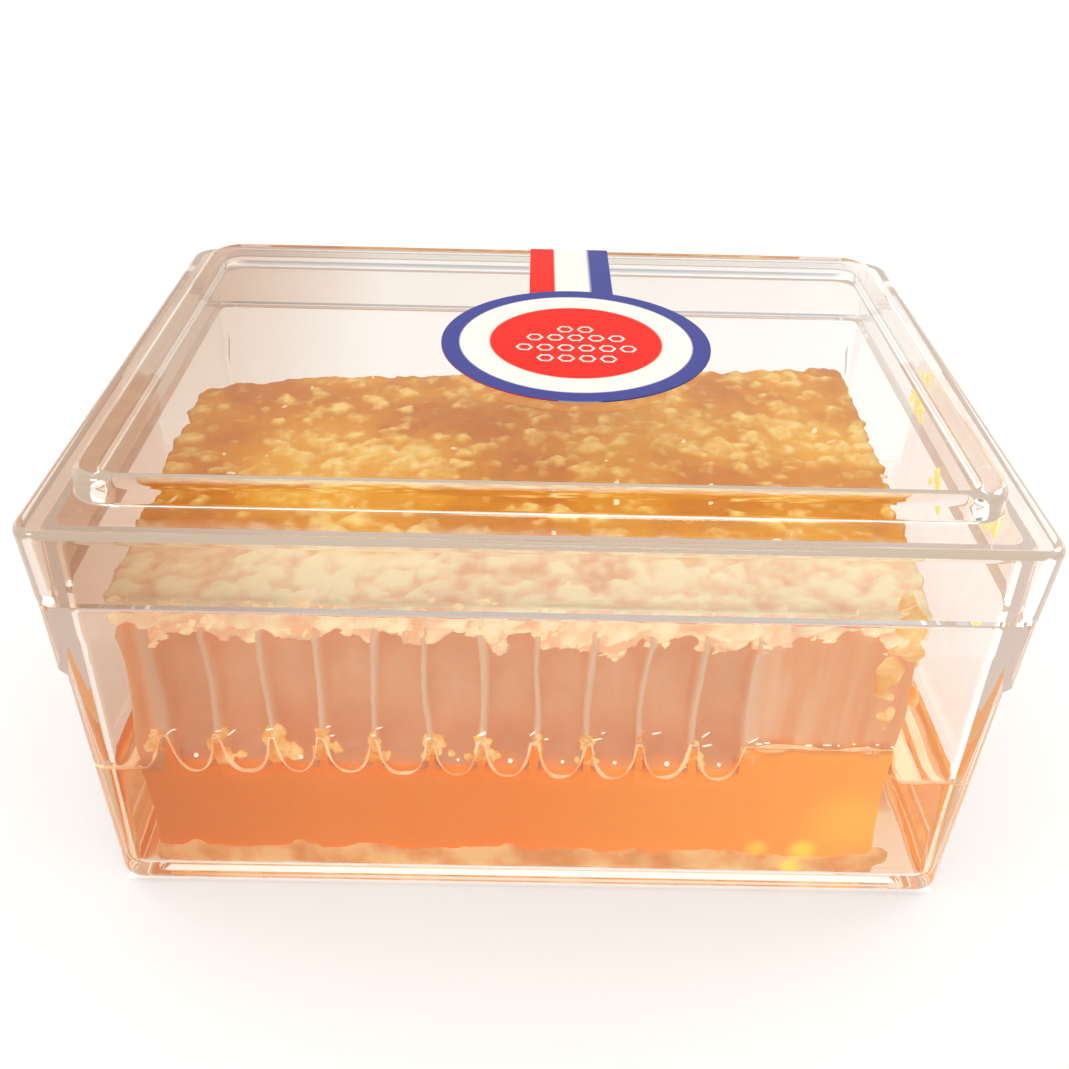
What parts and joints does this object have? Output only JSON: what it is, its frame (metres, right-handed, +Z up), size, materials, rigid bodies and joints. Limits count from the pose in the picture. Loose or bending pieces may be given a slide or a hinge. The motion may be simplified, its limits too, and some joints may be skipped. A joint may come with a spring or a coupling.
{
  "type": "boxed honeycomb piece",
  "caption": "Slab of cut honeycomb lying in its own drained honey in a shut clear box, with a lift-off lid and a round ribbon seal.",
  "frame": {"origin": "middle of the footprint, on the surface that the box stands on", "axes": "+X along the box's long side, +Y from the comb's cut front to the back, +Z up"},
  "size_m": [0.092, 0.0718, 0.0483],
  "materials": {
    "clear_plastic": "clear and polished",
    "seal_paper": "printed, slightly glossy",
    "capping_wax": "crumbly pale wax, wet with honey",
    "cell_wax": "translucent wet wax",
    "lower_wax": "pale wax seen through honey",
    "honey": "clear amber liquid"
  },
  "bodies": {
    "root": {"tub": "clear_plastic", "lid": "clear_plastic", "seal_sticker": "seal_paper", "comb_caps_upper": "capping_wax", "comb_cells": "cell_wax", "comb_caps_lower": "lower_wax", "honey_pool": "honey"}
  },
  "joints": []
}
